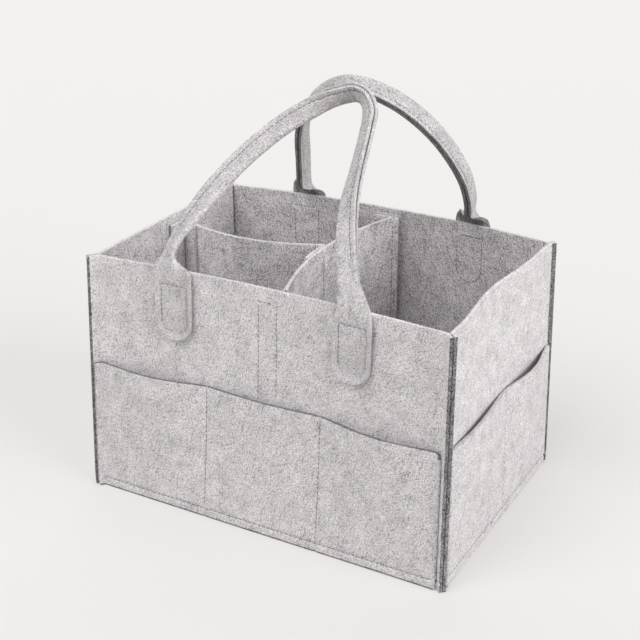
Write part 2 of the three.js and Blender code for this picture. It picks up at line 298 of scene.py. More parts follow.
def thread_finish(name, dark, light):
    finish, shader, wire = new_finish(name, 0.7)
    place = wire.node("ShaderNodeTexCoord", output=3)
    twist = wire.node("ShaderNodeTexNoise", None, {"Vector": place, "Scale": 1 / (0.5 * MM), "Detail": 1.0})
    paint(shader, wire, dark, light, twist, twist, 0.1 * MM)
    return finish


hook_tape = hook_finish()
loop_tape = loop_finish()
# The dark grey of this thread is painted shade for the dents its stitches press into the felt.
thread = thread_finish("thread", (0.09, 0.087, 0.088), (0.28, 0.272, 0.274))
pale_thread = thread_finish("pale_thread", (0.75, 0.74, 0.74), (0.98, 0.97, 0.97))
print("tape and thread finishes ready")

# %% [markdown]
# ## A felt sheet
# Felt doesn't fray, so it is sewn with its cut edge showing. That edge is what makes it look like felt, and
# a plane without thickness can't show it. Each sheet is therefore a closed shell: the middle surface is
# worked out first, both faces are set off from it along its normals, and the edge between them is filled
# and rounded a little. Where a seam presses the felt, the shell is thinner.

# %% Helpers for sheets
EDGE_GUARD = 1.5 * MM
LINE_STEPS = [step * MM for step in (-2.6, -1.3, -0.6, 0, 0.6, 1.3, 2.6)]
CLOSEST = 1.2 * MM
STITCH_DENT = 0.55
GROOVE = 1.1 * MM
SHARP_EDGE = math.radians(60)
CUT_SHIFT = np.array((0.61, 0.37))
LINING_SHIFT = 0.45
ON_FACE, ON_EDGE, ON_ENDS, ON_FOOT, ON_LINING = range(5)
piece_count = 0


def mix(first, last, share):
    return first + (last - first) * share


def smooth(value):
    share = min(1.0, max(0.0, value))
    return share * share * (3 - 2 * share)


def spaced(start, stop, pitch, lines=()):
    """Places from start to stop about a pitch apart, closer at both ends and at each stitch line."""
    count = max(1, round((stop - start) / pitch))
    close = {start, stop, start + EDGE_GUARD, stop - EDGE_GUARD}
    close.update(line + step for line in lines for step in LINE_STEPS)
    regular = [mix(start, stop, k / count) for k in range(count + 1)]
    apart = [place for place in regular if all(abs(place - other) > CLOSEST for other in close)]
    return sorted([*close, *apart])


def pressed_by(distance):
    """How hard a stitch line presses the felt at a distance from it: 1 on the line."""
    return math.exp(-((distance / GROOVE) ** 2))


def normals_of(middle):
    across = np.gradient(middle, axis=1)
    along = np.gradient(middle, axis=0)
    normal = np.cross(across, along)
    return normal / np.linalg.norm(normal, axis=2, keepdims=True)


def flat_pattern(middle):
    """The flat place of each point: its distance along its row, and its row's along the middle column."""
    centre = middle.shape[1] // 2
    across = np.linalg.norm(np.diff(middle, axis=1), axis=2)
    along = np.linalg.norm(np.diff(middle[:, centre], axis=0), axis=1)
    u = np.concatenate([np.zeros((len(middle), 1)), np.cumsum(across, axis=1)], axis=1)
    v = np.concatenate([[0], np.cumsum(along)])[:, None] + np.zeros_like(u)
    return np.stack([u - u[:, [centre]], v], axis=2)


def add_object(name, mesh, finishes):
    data = bpy.data.meshes.new(name)
    mesh.to_mesh(data)
    mesh.free()
    for finish in finishes:
        data.materials.append(finish)
    piece = bpy.data.objects.new(name, data)
    bpy.context.collection.objects.link(piece)
    return piece


def cloth(
    name, points, face, edge, ends=None, foot=None, lining=None,
    thick=FELT, pressed=None, end_columns=(0, 0), foot_rows=0,
):
    """A closed sheet round its middle surface, points[row][column], seen from the side its normals face.
    face and lining finish its two sides, and edge the cut edge along its last row. ends finish the cut edges
    at the ends of its rows, with end_columns beside them, and foot the one along its first row, with
    foot_rows beside it."""
    global piece_count
    piece_count += 1
    middle = np.array(points, float)
    rows, columns = middle.shape[:2]
    half = thick / 2 * (1 - STITCH_DENT * (0 if pressed is None else np.array(pressed, float)))
    offset = normals_of(middle) * np.broadcast_to(half, (rows, columns))[:, :, None]
    flat = flat_pattern(middle) + CUT_SHIFT * piece_count
    mesh = bmesh.new()
    cut = mesh.loops.layers.uv.new("cut")
    sides = [
        [[mesh.verts.new(point) for point in row] for row in middle + offset],
        [[mesh.verts.new(point) for point in row] for row in middle - offset],
    ]

    def add_face(corners, material):
        made = mesh.faces.new([sides[side][row][column] for side, row, column in corners])
        made.material_index = material
        made.smooth = True
        for loop, (side, row, column) in zip(made.loops, corners):
            turned = side * (LINING_SHIFT if material in (ON_FACE, ON_LINING) else thick)
            loop[cut].uv = flat[row, column] + turned

    for row in range(rows - 1):
        for column in range(columns - 1):
            ring = [(row, column), (row, column + 1), (row + 1, column + 1), (row + 1, column)]
            inside = end_columns[0] <= column < columns - 1 - end_columns[1]
            material = (ON_FOOT if row < foot_rows else ON_FACE) if inside else ON_ENDS
            add_face([(0, *place) for place in ring], material)
            behind = ON_LINING if material == ON_FACE else material
            add_face([(1, *place) for place in reversed(ring)], behind)
    bottom = [(0, column) for column in range(columns)]
    right = [(row, columns - 1) for row in range(rows)]
    top = [(rows - 1, column) for column in reversed(range(columns))]
    left = [(row, 0) for row in reversed(range(rows))]
    for border, material in ((bottom, ON_FOOT), (right, ON_ENDS), (top, ON_EDGE), (left, ON_ENDS)):
        for first, second in zip(border, border[1:]):
            add_face([(0, *second), (0, *first), (1, *first), (1, *second)], material)
    mesh.normal_update()
    sharp = [line for line in mesh.edges if line.calc_face_angle(0) > SHARP_EDGE]
    bmesh.ops.bevel(
        mesh,
        geom=sharp,
        offset=min(CUT_ROUND, thick / 4),
        offset_type="OFFSET",
        segments=2,
        profile=0.5,
        affect="EDGES",
        clamp_overlap=True,
        material=-1,
    )
    for made in mesh.faces:
        made.smooth = True
    return add_object(name, mesh, [face, edge, ends or edge, foot or edge, lining or face])


print("sheet helpers ready")

# %% [markdown]
# ## Thread
# A sewing machine leaves a row of short stitches, each of which dips into the felt at both ends. A painted
# dashed line would lie flat, so every stitch is a small tube of thread that rises and sinks along its seam.

# %% A row of stitches
STITCH_PITCH = 4.4 * MM
STITCH_LENGTH = 3.5 * MM
THREAD_RADIUS = 0.4 * MM
RINGS = 5
SPOKES = 6


def sew(name, runs, body, finish=thread):
    """Stitches along each run, a list of (place, outward) pairs on the surface, as one object on a body."""
    mesh = bmesh.new()
    for run in runs:
        places = np.array([place for place, _ in run], float)
        outwards = np.array([outward for _, outward in run], float)
        lengths = np.linalg.norm(np.diff(places, axis=0), axis=1)
        reach = np.concatenate([[0], np.cumsum(lengths)])
        for k in range(int(reach[-1] / STITCH_PITCH)):
            add_stitch(mesh, places, outwards, reach, k * STITCH_PITCH)
    piece = add_object(name, mesh, [finish])
    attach(piece, body)
    return piece


def add_stitch(mesh, places, outwards, reach, start):
    def at(values, distance):
        return Vector([np.interp(distance, reach, values[:, axis]) for axis in range(3)])

    rings = []
    for k in range(RINGS):
        share = k / (RINGS - 1)
        distance = start + share * STITCH_LENGTH
        outward = at(outwards, distance).normalized()
        forward = (at(places, distance + MM / 2) - at(places, distance - MM / 2)).normalized()
        sideways = forward.cross(outward).normalized()
        lift = (0.55 * math.sin(math.pi * share) - 0.45) * THREAD_RADIUS
        centre = at(places, distance) + outward * lift
        radius = THREAD_RADIUS * (0.55 + 0.45 * math.sin(math.pi * share))
        spokes = [2 * math.pi * spoke / SPOKES for spoke in range(SPOKES)]
        ring = [centre + radius * (math.cos(a) * sideways + math.sin(a) * outward) for a in spokes]
        rings.append([mesh.verts.new(point) for point in ring])
    for first, second in zip(rings, rings[1:]):
        for k in range(SPOKES):
            after = (k + 1) % SPOKES
            mesh.faces.new([first[k], first[after], second[after], second[k]]).smooth = True
    mesh.faces.new(reversed(rings[0]))
    mesh.faces.new(rings[-1])


print("thread ready")

# %% [markdown]
# ## The walls' shape
# The box stands by itself because pressed felt is stiff, yet each rim bows a little in or out between its
# corners, and the right one has been pushed in near its middle. At a corner the two walls turn outwards
# along the diagonal and are sewn to each other, so their cut edges make an upright ridge, and no two ridges
# are trimmed quite alike. All of that is one formula, written for the front wall and turned into place for
# the others. The pockets and tongues are set off from the same formula, so they lie on the wall wherever it
# bends.

# %% One wall of the box
BEND_RADIUS = 4 * MM
BEND_INSET = 5.56 * MM
BEND_LENGTH = BEND_RADIUS * math.pi / 4
RIDGE = 6.4 * MM
WIDE_RIDGE = 8 * MM
NARROW_RIDGE = 4.6 * MM
RIDGE_SHARES = (0.25, 0.5, 0.77, 1)
BOW_INSET = math.sqrt(2) * (FELT + GAP / 2)
WAVE = 0.5 * MM
WAVE_SIZE = 110 * MM


class Wall:
    """A wall drawn as the front one: x runs along it and outwards is -Y. A turn puts it in its place."""

    def __init__(self, name, quarter_turns, long_side, bow, ridges, dip=None):
        self.name = name
        self.turn = quarter_turns * math.pi / 2
        self.span, self.reach = (HALF_LENGTH, HALF_WIDTH) if long_side else (HALF_WIDTH, HALF_LENGTH)
        self.end_lean, self.lean = (END_LEAN, SIDE_LEAN) if long_side else (SIDE_LEAN, END_LEAN)
        self.bow = bow
        self.ridges = ridges
        self.dip = dip

    def rise(self, z):
        return max(0.0, (z - SEAM_TOP) / (RIM - SEAM_TOP))

    def half_span(self, z):
        return self.span - self.end_lean * self.rise(z)

    def face(self, x, z):
        """How far the outer face stands from the middle of the box."""
        rise = self.rise(z)
        side = x / (self.half_span(z) - BOW_INSET)
        across = max(0.0, 1 - side**2)
        upwards = 1 - (1 - min(1.0, rise)) ** 3
        if self.dip:
            centre, reach = self.dip
            across = math.cos(math.pi / 2 * min(1.0, abs(side - centre) / reach)) ** 2
            upwards = rise**2
        wave = WAVE * noise.noise((x / WAVE_SIZE, z / WAVE_SIZE, 7.3 * self.turn + 1.7))
        return self.reach - self.lean * rise + (self.bow + wave) * across * upwards

    def put(self, x, y, z):
        cos, sin = math.cos(self.turn), math.sin(self.turn)
        return Vector((MIDDLE.x + x * cos - y * sin, MIDDLE.y + x * sin + y * cos, z))

    def at(self, x, out, z):
        """The place in front of the wall's outer face by out."""
        return self.put(x, -(self.face(x, z) + out), z)

    def straight(self, z):
        return self.half_span(z) - BEND_INSET

    def along(self, s, out, z):
        """As at(), but s is the distance along the cut, which turns out along the diagonal at a corner."""
        past = abs(s) - self.straight(z)
        if past <= 0:
            return self.at(s, out, z)
        angle = min(past, BEND_LENGTH) / BEND_RADIUS
        rest = max(0.0, past - BEND_LENGTH)
        out_of_middle = out + FELT / 2
        x = self.straight(z) + BEND_RADIUS * math.sin(angle) + rest * math.cos(angle)
        x -= out_of_middle * math.sin(angle)
        y = self.reach - self.lean * self.rise(z) - FELT / 2
        y += BEND_RADIUS * (1 - math.cos(angle)) + rest * math.sin(angle) + out_of_middle * math.cos(angle)
        return self.put(math.copysign(x, s), -y, z)

    def cut_place(self, s, z):
        """A place on the foot of the cut, drawn in with the wall as it rises."""
        foot = self.straight(0)
        if abs(s) <= foot:
            return s * self.straight(z) / foot
        return math.copysign(self.straight(z) + abs(s) - foot, s)

    def outward(self, s, z):
        return (self.along(s, MM, z) - self.along(s, 0, z)).normalized()

    def seam_run(self, places, out, facing=1):
        """A run for sew(): places are (s, z) on the wall, and facing is -1 on the inside."""
        return [(self.along(s, out, z), facing * self.outward(s, z)) for s, z in places]


front = Wall("front", 0, True, -7.5 * MM, (WIDE_RIDGE, RIDGE))
right = Wall("right", 1, False, -6.2 * MM, (RIDGE, NARROW_RIDGE), dip=(-0.13, 0.75))
back = Wall("back", 2, True, 12 * MM, (NARROW_RIDGE, RIDGE))
left = Wall("left", 3, False, 1 * MM, (RIDGE, WIDE_RIDGE))
walls = [front, right, back, left]
print("walls:", ", ".join(wall.name for wall in walls))

# %% [markdown]
# ## Wall panels
# Each wall is one cut of felt with a seam allowance at both ends. Stitch lines that go through it, for a
# pocket or a tape, press a shallow groove into it on both faces. Close columns of the grid along those
# lines make the groove real, and wide ones between them keep the mesh light.

# %% Panels
WALL_PITCH = 9 * MM
TAPE_EDGE = 1.5 * MM
LINE_FADE = 3 * MM
POCKET_LINES = {
    "front": [-54 * MM, 54 * MM],
    "right": [7 * MM],
    "back": [-53 * MM, 53 * MM],
    "left": [0],
}


def tape_lines(wall):
    """The two stitch lines that hold a wall's loop tape, as distances along the wall."""
    if wall is right:
        return []
    low, high = (Vector(corner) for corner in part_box(f"{wall.name}_loop_tape"))
    centre = (low + high) / 2 - MIDDLE
    along = centre.x * math.cos(wall.turn) + centre.y * math.sin(wall.turn)
    half = max(high.x - low.x, high.y - low.y) / 2 - TAPE_EDGE
    return [along - half, along + half]


TAPE_LOW, TAPE_HIGH = (corner[2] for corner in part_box("front_loop_tape"))
TAPE_SEAM_TOP = TAPE_HIGH - 7 * MM
# Columns of face beside each corner ridge that are painted dark as painted shade of the ridge's groove.
SHADED_END_COLUMNS = {"front": (1, 0), "right": (4, 4), "back": (0, 1), "left": (4, 4)}


def wall_pressed(wall, s, z):
    press = pressed_by(z - BOTTOM_STITCH)
    for line in POCKET_LINES[wall.name]:
        press = max(press, pressed_by(s - line) * smooth((POCKET_TOP - z) / LINE_FADE))
    for line in tape_lines(wall):
        inside = smooth((TAPE_SEAM_TOP - z) / LINE_FADE) * smooth((z - TAPE_LOW) / LINE_FADE)
        press = max(press, pressed_by(s - line) * inside)
    return press


def panel(wall):
    foot = wall.straight(0)
    centre = spaced(-foot, foot, WALL_PITCH, [*POCKET_LINES[wall.name], *tape_lines(wall)])
    bend = [foot + BEND_LENGTH * k / 4 for k in range(1, 5)]
    start, end = ([*bend, *[bend[-1] + ridge * share for share in RIDGE_SHARES]] for ridge in wall.ridges)
    columns = [*[-s for s in reversed(start)], *centre, *end]
    rows = spaced(0, RIM, WALL_PITCH, [BOTTOM_STITCH])
    points = [[wall.along(wall.cut_place(s, z), -FELT / 2, z) for s in columns] for z in rows]
    pressed = [[wall_pressed(wall, s, z) for s in columns] for z in rows]
    # The ridges' cut edges are dark felt; the end columns beside them and the wall's foot are painted shade.
    piece = cloth(
        f"{wall.name}_wall",
        points,
        wall_felt,
        rim_felt,
        ends=seam_and_shade_felt,
        foot=seam_and_shade_felt,
        lining=inner_felt,
        pressed=pressed,
        end_columns=SHADED_END_COLUMNS[wall.name],
    )
    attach(piece, "caddy")
    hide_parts(f"{wall.name}_panel")
    width = 2 * (foot + BEND_LENGTH) + sum(wall.ridges)
    return len(rows) * len(columns)


print("wall grid points:", [panel(wall) for wall in walls])

# %% [markdown]
# ## Base
# The base is a sheet sewn in above the floor, with its edges turned down between the walls, so the box
# stands on its seams. It could be a grid like the walls, but its corners would crumple. Rings that follow
# the turned edge round the rectangle, with a flat cap on each side, close it neatly.

# %% Base sheet
TURN_OUTER = 4 * MM
TURN_INNER = 1 * MM
CORNER_ROUND = 4 * MM
CORNER_STEPS = 4


def base_ring(inset):
    """A rectangle with round corners, drawn in from the base's outside."""
    half_x = HALF_LENGTH - FELT - GAP - inset
    half_y = HALF_WIDTH - FELT - GAP - inset
    ring = []
    for corner, (sign_x, sign_y) in enumerate([(1, 1), (-1, 1), (-1, -1), (1, -1)]):
        for k in range(CORNER_STEPS + 1):
            angle = math.pi / 2 * (corner + k / CORNER_STEPS)
            x = MIDDLE.x + sign_x * (half_x - CORNER_ROUND) + CORNER_ROUND * math.cos(angle)
            y = MIDDLE.y + sign_y * (half_y - CORNER_ROUND) + CORNER_ROUND * math.sin(angle)
            ring.append((x, y))
    return ring


def base_sheet():
    quarter = [math.pi / 8 * k for k in range(5)]
    profile = [(TURN_OUTER * (1 - math.sin(a)), SEAM_TOP - TURN_OUTER * (1 - math.cos(a))) for a in quarter]
    profile += [(0, CUT_ROUND), (CUT_ROUND, 0), (FELT - CUT_ROUND, 0), (FELT, CUT_ROUND)]
    under = SEAM_TOP - FELT
    profile += [
        (FELT + TURN_INNER * (1 - math.cos(a)), under - TURN_INNER * (1 - math.sin(a))) for a in quarter
    ]
    mesh = bmesh.new()
    cut = mesh.loops.layers.uv.new("cut")
    rings = [[mesh.verts.new((x, y, z)) for x, y in base_ring(inset)] for inset, z in profile]
    for first, second in zip(rings, rings[1:]):
        for k in range(len(first)):
            after = (k + 1) % len(first)
            mesh.faces.new([first[after], first[k], second[k], second[after]])
    mesh.faces.new(rings[0])
    mesh.faces.new(reversed(rings[-1]))
    for made in mesh.faces:
        made.smooth = len(made.verts) == 4
        for loop in made.loops:
            loop[cut].uv = (loop.vert.co.x + loop.vert.co.z, loop.vert.co.y - loop.vert.co.z)
    piece = add_object("base_sheet", mesh, [wall_felt])
    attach(piece, "caddy")
    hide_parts("base_panel")
    return piece


base = base_sheet()
print("base:", len(base.data.polygons), "faces")

# %% [markdown]
# ## Pockets
# A pocket strip is a second sheet over the lower wall, sewn down at the bottom, at the corners and along
# the lines between the pockets. Being a little longer than the wall, it stands off in a shallow wave, most
# at its open top. Its cut ends follow the bend of the corner, and on a long side one of them is rounded at
# the top. On a long side the raw edges along its lip and foot, and the lowest row of its face, are painted
# dark as painted shade, for the shade in the gap behind the lip and along the foot.

# %% Pocket strips
POCKET_BULGES = {
    "front": [7 * MM, 3.5 * MM, 7 * MM],
    "right": [3.5 * MM, 6 * MM],
    "back": [7 * MM, 5 * MM, 7 * MM],
    "left": [6 * MM, 6 * MM],
}
POCKET_TURNS = {
    "front": (8.5 * MM, 4.6 * MM),
    "right": (4.6 * MM, 3.4 * MM),
    "back": (4.6 * MM, 4.6 * MM),
    "left": (4.6 * MM, 8.5 * MM),
}
POCKET_CORNER = 5 * MM
POCKET_PITCH = 7 * MM
POCKET_SLACK = 4 * MM


def pocket_out(wall, s, z):
    """How far the pocket's inner face stands off the wall, with s on the foot of the cut."""
    reach = wall.straight(0)
    bounds = [-reach, *POCKET_LINES[wall.name], reach]
    upwards = math.sin(math.pi / 2 * min(1.0, z / POCKET_TOP)) ** 2
    for first, last, bulge in zip(bounds, bounds[1:], POCKET_BULGES[wall.name]):
        if first <= s <= last:
            across = 2 * (s - first) / (last - first) - 1
            return GAP + bulge * (1 - across**2) ** 1.5 * upwards
    return GAP


def pocket_pressed(wall, s, z):
    press = pressed_by(z - BOTTOM_STITCH)
    for line in POCKET_LINES[wall.name]:
        press = max(press, pressed_by(s - line))
    return press


def pocket(wall):
    start, end = (wall.straight(0) + turn for turn in POCKET_TURNS[wall.name])
    columns = spaced(-start, end, POCKET_PITCH, POCKET_LINES[wall.name])
    heights = spaced(0, POCKET_TOP, POCKET_PITCH, [BOTTOM_STITCH])
    on_long_side = wall in (front, back)

    def lowered(s, z):
        """Heights near the end of a long side's strip come down round its top corner."""
        inside = min(POCKET_CORNER, end - s if on_long_side else POCKET_CORNER)
        drop = POCKET_CORNER - math.sqrt(POCKET_CORNER**2 - (POCKET_CORNER - inside) ** 2)
        return z - drop * max(0.0, (z - POCKET_TOP / 2) / (POCKET_TOP / 2))

    def place(s, z):
        height = lowered(s, z)
        return wall.along(wall.cut_place(s, height), pocket_out(wall, s, height) + FELT / 2, height)

    points = [[place(s, z) for s in columns] for z in heights]
    pressed = [[pocket_pressed(wall, s, z) for s in columns] for z in heights]
    # On a long side the lip, the foot and the lowest face row get the dark felt of painted shade.
    piece = cloth(
        f"{wall.name}_pocket_strip",
        points,
        pocket_felt,
        shaded_edge_felt if on_long_side else rim_felt,
        ends=pocket_felt,
        foot=shaded_edge_felt if on_long_side else pocket_felt,
        pressed=pressed,
        foot_rows=1,
    )
    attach(piece, "caddy")
    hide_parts(f"{wall.name}_pocket")
    start + end + POCKET_SLACK
    return len(heights) * len(columns)


print("pocket grid points:", [pocket(wall) for wall in walls])

# %% [markdown]
# ## Loop tapes
# A strip of loop tape is sewn to the inside of three walls, where the insert's flaps hold on. Its stitches
# go through the wall, so two faint lines show outside, with a row across their tops, as on the real caddy's
# front.

# %% Loop tapes
LOOP_COLUMN = 4 * MM
LOOP_ROW = 6 * MM


def loop_strip(wall):
    first, last = tape_lines(wall)
    columns = spaced(first - TAPE_EDGE, last + TAPE_EDGE, LOOP_COLUMN, [first, last])
    rows = spaced(TAPE_LOW, TAPE_HIGH, LOOP_ROW)
    out = -FELT - GAP / 2 - TAPE / 2
    points = [[wall.at(x, out, z) for x in reversed(columns)] for z in rows]
    pressed = [[max(pressed_by(x - first), pressed_by(x - last)) for x in reversed(columns)] for _ in rows]
    piece = cloth(f"{wall.name}_loop_strip", points, loop_tape, loop_tape, thick=TAPE, pressed=pressed)
    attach(piece, "caddy")
    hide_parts(f"{wall.name}_loop_tape")
    width = last - first + 2 * TAPE_EDGE
    return width


taped = [front, back, left]
print("loop tapes, width in mm:", [round(loop_strip(wall) * 1000, 1) for wall in taped])

# %% [markdown]
# ## Handles
# Each handle is one strip. Its two ends lie flat on the wall as round tongues; above the rim it bends
# inwards, folds in half along its length and runs over in a loop to the other tongue. On the back handle
# both halves fold inwards like a tent all the way. The front one has slumped to one side, so its fold
# twists along the loop, and its right root rolls shut where the left one closes like a tent. A tube would
# lose the fold and the two cut edges, so the strip's flat section is folded station by station.

# %% Sizes of a handle strip
STRIP = 33 * MM
HANDLE_REACH = 83 * MM
TONGUE_BOTTOM = RIM - 60 * MM
TONGUE_CREASE = RIM - 13 * MM
FOLD_RADIUS = FELT / 2 - 0.05 * MM
FOLD_BEND = math.pi * FOLD_RADIUS / 2
FOLD_DEPTH = STRIP / 2 - FOLD_BEND + FOLD_RADIUS
FOLD_PRESS = 0.25
EDGE_FLARE = 0.6 * MM
SEW_LINE = 12.2 * MM
TONGUE_CURL = 2.5 * MM
ROOT_ROWS = 12
STRIP_COLUMNS = [0, 0.8, 1.6, 2.4, 3.2, 5, 7, 9, 10.4, 11.1, 11.7, 12.2, 12.7, 13.3, 14.2, 15, 16, 16.5]
ACROSS = [-u * MM for u in reversed(STRIP_COLUMNS[1:])] + [u * MM for u in STRIP_COLUMNS]
LOOP_ROWS = 200
WRINKLE = 0.5 * MM
WRINKLE_PITCH = 5.5 * MM
WRINKLE_REACH = 9 * MM
WRINKLE_FROM, WRINKLE_FULL = 10, 30
TONGUE_PITCH = 2.8 * MM


def ramp(value, low, high):
    return smooth((value - low) / (high - low))


def smooth_route(points, steps=16):
    """Places close together on a smooth line through the points."""
    route = [Vector(point) for point in points]
    route = [2 * route[0] - route[1], *route, 2 * route[-1] - route[-2]]
    line = []
    for a, b, c, d in zip(route, route[1:], route[2:], route[3:]):
        at_b = math.sqrt((b - a).length)
        at_c = at_b + math.sqrt((c - b).length)
        at_d = at_c + math.sqrt((d - c).length)
        for k in range(steps):
            t = mix(at_b, at_c, k / steps)
            ab = a.lerp(b, t / at_b)
            bc = b.lerp(c, (t - at_b) / (at_c - at_b))
            cd = c.lerp(d, (t - at_c) / (at_d - at_c))
            abc = ab.lerp(bc, t / at_c)
            bcd = bc.lerp(cd, (t - at_b) / (at_d - at_b))
            line.append(abc.lerp(bcd, (t - at_b) / (at_c - at_b)))
    return np.array([*line, route[-2]])


def eased(share, stops):
    """A value that passes smoothly from stop to stop, each a (share, value)."""
    for (first, low), (last, high) in zip(stops, stops[1:]):
        if share <= last:
            return mix(low, high, ramp(share, first, last))
    return stops[-1][1]


def folded(u):
    """Section of the folded strip: across the fold, and from it to the cut edges, which flare a little."""
    angle = max(-math.pi / 2, min(math.pi / 2, u / FOLD_RADIUS))
    ply = max(0.0, abs(u) - FOLD_BEND)
    flare = EDGE_FLARE * ramp(abs(u), SEW_LINE, STRIP / 2)
    return FOLD_RADIUS * math.sin(angle) + math.copysign(flare, u), FOLD_RADIUS * (1 - math.cos(angle)) + ply


print(f"handle strip {STRIP * 1000:.0f} mm wide, folded to {FOLD_DEPTH * 1000 + 3:.0f} mm")


# %% A handle's loop and tongues
class Strap:
    """A handle strip on a wall. Its loop leans inwards from the hinge line along a route in its own plane.
    twist is the turn of its cut edges along that route, in degrees from straight inwards to outwards. The two
    tongues differ: tongue_x is their middle, and roots are how far below and above the hinge line the strip
    opens and whether it does so rolling. A root stands up the higher the larger spring is, and skew makes its
    +x side taller."""

    def __init__(self, wall, hinge, lean, route, twist, stand, tongue_x, roots, skew, spring):
        self.wall = wall
        self.twist = twist
        self.stand = stand
        self.tongue_x = dict(zip((-1, 1), tongue_x))
        self.roots = dict(zip((-1, 1), roots))
        self.skew = dict(zip((-1, 1), skew))
        self.spring = spring
        hinge_place = Vector(hinge["pos_m"]) - MIDDLE
        self.hinge_reach = abs(hinge_place.y)
        self.hinge_z = hinge["pos_m"][2]
        self.up = Vector((0, math.sin(lean), math.cos(lean)))
        self.inward = Vector((0, math.cos(lean), -math.sin(lean)))
        self.line = smooth_route([(x * MM, s * MM) for x, s in route])
        steps = np.linalg.norm(np.diff(self.line, axis=0), axis=1)
        self.reach = np.concatenate([[0], np.cumsum(steps)])
        self.length = self.reach[-1]

    def centre(self, distance):
        return Vector([np.interp(distance, self.reach, self.line[:, axis]) for axis in range(2)])

    def bend(self, distance):
        """Curvature of the route, in turns of a radian per metre."""
        step = 6 * MM
        before = self.centre(distance) - self.centre(distance - step)
        after = self.centre(distance + step) - self.centre(distance)
        return abs(before.angle_signed(after, 0.0)) / step

    def loop_point(self, distance, u):
        x, s = self.centre(distance)
        way = self.centre(distance + MM) - self.centre(distance - MM)
        forward = (Vector((way.x, 0, 0)) + self.up * way.y).normalized()
        outer = forward.cross(self.inward)
        twist = math.radians(eased(distance / self.length, self.twist))
        edges = self.inward * math.cos(twist) + outer * math.sin(twist)
        flat = edges.cross(forward)
        p, q = folded(u)
        tight = ramp(self.bend(distance), WRINKLE_FROM, WRINKLE_FULL)
        buckle = tight * math.exp(-((u / WRINKLE_REACH) ** 2))
        p += math.copysign(WRINKLE * buckle * math.cos(2 * math.pi * distance / WRINKLE_PITCH), u)
        point = Vector((x, -self.hinge_reach, self.hinge_z)) + self.up * s + self.inward * self.stand
        return point + flat * p + edges * (q - FOLD_DEPTH / 2)

    def tongue_point(self, side, u, z):
        """On the wall, with the cut edge curling off it outside the seam."""
        x = self.tongue_x[side] - side * u
        tip = TONGUE_BOTTOM + STRIP / 2
        curl = TONGUE_CURL * smooth((math.hypot(u, min(0.0, z - tip)) - SEW_LINE) / (STRIP / 2 - SEW_LINE))
        return Vector((x, -(self.wall.face(x, z) + GAP + FELT / 2 + curl), z))

    def tongue_rows(self, side):
        """Rows from the round tip to where the strip starts to bend, and how hard the seam presses them."""
        radius = STRIP / 2
        drops = [radius - math.sqrt(radius**2 - u**2) for u in ACROSS]
        top = self.hinge_z - self.roots[side][0] - TONGUE_BOTTOM
        rows, pressed = [], []
        for level in spaced(0, top, TONGUE_PITCH, [TONGUE_CREASE - TONGUE_BOTTOM]):
            heights = [TONGUE_BOTTOM + level + drop * (1 - smooth(level / STRIP)) for drop in drops]
            rows.append([self.tongue_point(side, u, z) for u, z in zip(ACROSS, heights)])
            pressed.append([tongue_pressed(u, z) for u, z in zip(ACROSS, heights)])
        return rows, pressed

    def root_point(self, side, u, t):
        """On the way from the flat tongue to the folded loop. Each line along the strip leaves the tongue
        straight up and runs into the loop without a kink. In a rolling root the inner half passes behind,
        round a crease that moves from the strip's inner edge to its middle. In the others both halves close
        like a tent."""
        below, above, rolling = self.roots[side]
        lower = self.hinge_z - below
        far = above if side < 0 else self.length - above
        share = smooth(t)
        flat_u, folded_u, behind = u, u, 0.0
        if rolling:
            past = u - STRIP / 2 * (1 - share)
            flat_u, folded_u = STRIP / 2 - abs(past), past
            behind = FELT * smooth(past / FELT)
        low = self.tongue_point(side, flat_u, lower) + Vector((0, behind, 0))
        high = self.loop_point(far, folded_u)
        span = (high - low).length
        leave = Vector((0, 0, self.spring * span * (1 - self.skew[side] * side * u / (STRIP / 2))))
        enter = (self.loop_point(far - side * MM, folded_u) - high).normalized() * span
        return low.lerp(high, share) + leave * t * (1 - t) ** 2 - enter * t * t * (1 - t)

    def root_rows(self, side):
        shares = [(k + 1) / (ROOT_ROWS + 1) for k in range(ROOT_ROWS)]
        return [[self.root_point(side, u, share) for u in ACROSS] for share in shares]

    def rows(self):
        left_rows, left_pressed = self.tongue_rows(-1)
        right_rows, right_pressed = self.tongue_rows(1)
        loop, loop_pressed = [], []
        for k in range(LOOP_ROWS + 1):
            distance = mix(self.roots[-1][1], self.length - self.roots[1][1], k / LOOP_ROWS)
            loop.append([self.loop_point(distance, u) for u in ACROSS])
            loop_pressed.append([max(FOLD_PRESS, pressed_by(abs(u) - SEW_LINE)) for u in ACROSS])
        plain = [[FOLD_PRESS * smooth(k / ROOT_ROWS)] * len(ACROSS) for k in range(ROOT_ROWS)]
        points = [*left_rows, *self.root_rows(-1), *loop, *reversed(self.root_rows(1)), *reversed(right_rows)]
        pressed = [*left_pressed, *plain, *loop_pressed, *reversed(plain), *reversed(right_pressed)]
        return [[self.wall.put(*point) for point in row] for row in points], pressed


def tongue_pressed(u, z):
    """The seam on a tongue runs up both sides, round the tip and across at the crease."""
    centre = TONGUE_BOTTOM + STRIP / 2
    if z > TONGUE_CREASE:
        return pressed_by(z - TONGUE_CREASE) if abs(u) < SEW_LINE else 0.0
    ring = math.hypot(u, min(0.0, z - centre)) - SEW_LINE
    across = z - TONGUE_CREASE if abs(u) < SEW_LINE else STRIP
    return max(pressed_by(ring), pressed_by(across))


